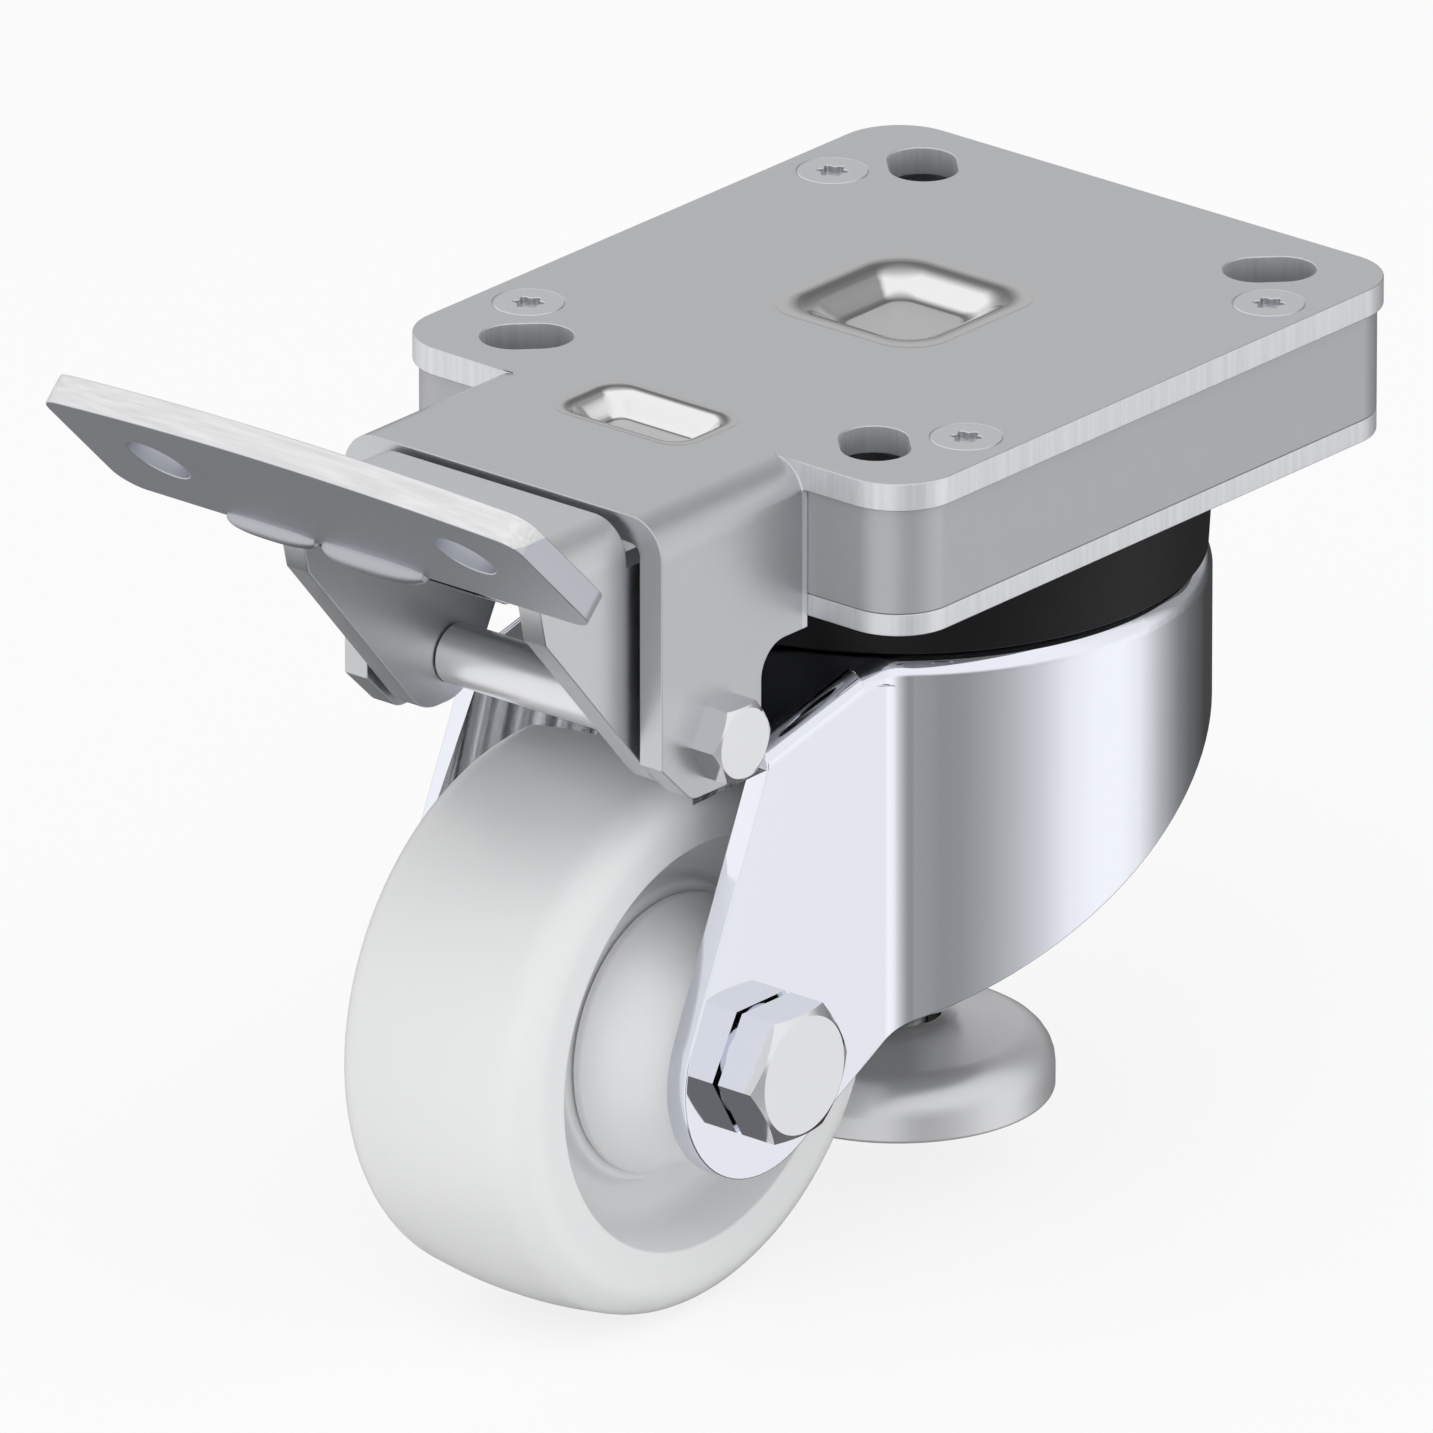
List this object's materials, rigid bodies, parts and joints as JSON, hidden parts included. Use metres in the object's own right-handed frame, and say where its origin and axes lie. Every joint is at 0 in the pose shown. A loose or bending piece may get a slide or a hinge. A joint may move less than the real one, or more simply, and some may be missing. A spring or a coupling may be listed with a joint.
{
  "type": "levelling castor",
  "caption": "Swivel castor with a white nylon wheel and a pedal that presses a levelling foot down through the hollow swivel, under a slotted fastening plate.",
  "frame": {"origin": "centre of the top plate's upper face, on the swivel axis", "axes": "+Z out of the top face towards the vehicle, -X towards the pedal, Y across"},
  "size_m": [0.2323, 0.115, 0.1812],
  "materials": {
    "plate": "satin zinc plated sheet steel",
    "fork": "bright zinc plated, mirror like",
    "lever": "satin zinc plated",
    "screws": "zinc plated",
    "bolts": "bright zinc plated",
    "tube": "turned steel",
    "nylon": "natural white, semi-gloss",
    "black": "black, satin",
    "foot": "satin",
    "inner_steel": "zinc plated steel",
    "bearing": "polished bearing steel"
  },
  "bodies": {
    "housing": {"top_plate": "plate", "housing_frame": "plate", "base_plate": "plate", "housing_screws": "screws", "guide_cup": "inner_steel", "cover_ring": "black", "upper_fixed_race": "inner_steel", "lower_fixed_race": "inner_steel", "upper_balls": "bearing", "lower_balls": "bearing", "return_spring": "bearing", "pivot_bolt": "bolts", "pivot_nut": "bolts", "pivot_tube": "tube", "pivot_washers": "bolts"},
    "fork": {"fork_shell": "fork", "upper_fork_race": "inner_steel", "lower_fork_race": "inner_steel", "axle_bolt": "bolts", "axle_nut": "bolts", "axle_tube": "tube", "bearing_spacer": "tube", "axle_collars": "nylon", "bearing_inner_rings": "bearing"},
    "wheel": {"wheel": "nylon", "bearing_outer_rings": "bearing", "bearing_balls": "bearing", "bearing_shields": "black"},
    "pedal": {"lever_channel": "lever", "pedal_plate": "lever", "drive_pin": "inner_steel"},
    "ramp_slide": {"ramp_plate_left": "inner_steel", "ramp_plate_right": "inner_steel", "ramp_tie": "inner_steel"},
    "plunger": {"plunger": "inner_steel", "cross_pin": "inner_steel"},
    "spindle": {"spindle": "inner_steel"},
    "adjusting_nut": {"adjusting_nut": "inner_steel"},
    "joint_liner": {"joint_liner": "black"},
    "foot": {"foot_disc": "foot"}
  },
  "joints": [
    {"name": "swivel", "type": "hinge", "parent": "housing", "child": "fork", "pos_m": [0, 0, -0.0435], "axis": [0, 0, 1], "continuous": true},
    {"name": "wheel_spin", "type": "hinge", "parent": "fork", "child": "wheel", "pos_m": [-0.0763, 0, -0.1062], "axis": [0, 1, 0], "continuous": true},
    {"name": "pedal_swing", "type": "hinge", "parent": "housing", "child": "pedal", "pos_m": [-0.0888, 0, -0.0426], "axis": [0, -1, 0], "range_deg": [0, 40]},
    {"name": "ramp_travel", "type": "slide", "parent": "housing", "child": "ramp_slide", "axis": [-1, 0, 0], "range_m": [0, 0.0193]},
    {"name": "plunger_travel", "type": "slide", "parent": "housing", "child": "plunger", "axis": [0, 0, -1], "range_m": [0, 0.0123], "deforming": ["return_spring"]},
    {"name": "spindle_travel", "type": "slide", "parent": "plunger", "child": "spindle", "axis": [0, 0, -1], "range_m": [0, 0.008]},
    {"name": "nut_turn", "type": "hinge", "parent": "plunger", "child": "adjusting_nut", "pos_m": [0, 0, -0.12], "axis": [0, 0, 1], "range_deg": [0, 1441]},
    {"name": "foot_tilt_side", "type": "hinge", "parent": "spindle", "child": "joint_liner", "pos_m": [0, 0, -0.134], "axis": [1, 0, 0], "range_deg": [-6, 6]},
    {"name": "foot_tilt_front", "type": "hinge", "parent": "joint_liner", "child": "foot", "pos_m": [0, 0, -0.134], "axis": [0, 1, 0], "range_deg": [-6, 6]}
  ],
  "couplings": [
    {"joint": "ramp_travel", "follows": "pedal_swing", "m_per_rad": 0.027502},
    {"joint": "plunger_travel", "follows": "pedal_swing", "m_per_rad": 0.017475},
    {"joint": "nut_turn", "follows": "spindle_travel", "rad_per_m": 3141.6}
  ]
}
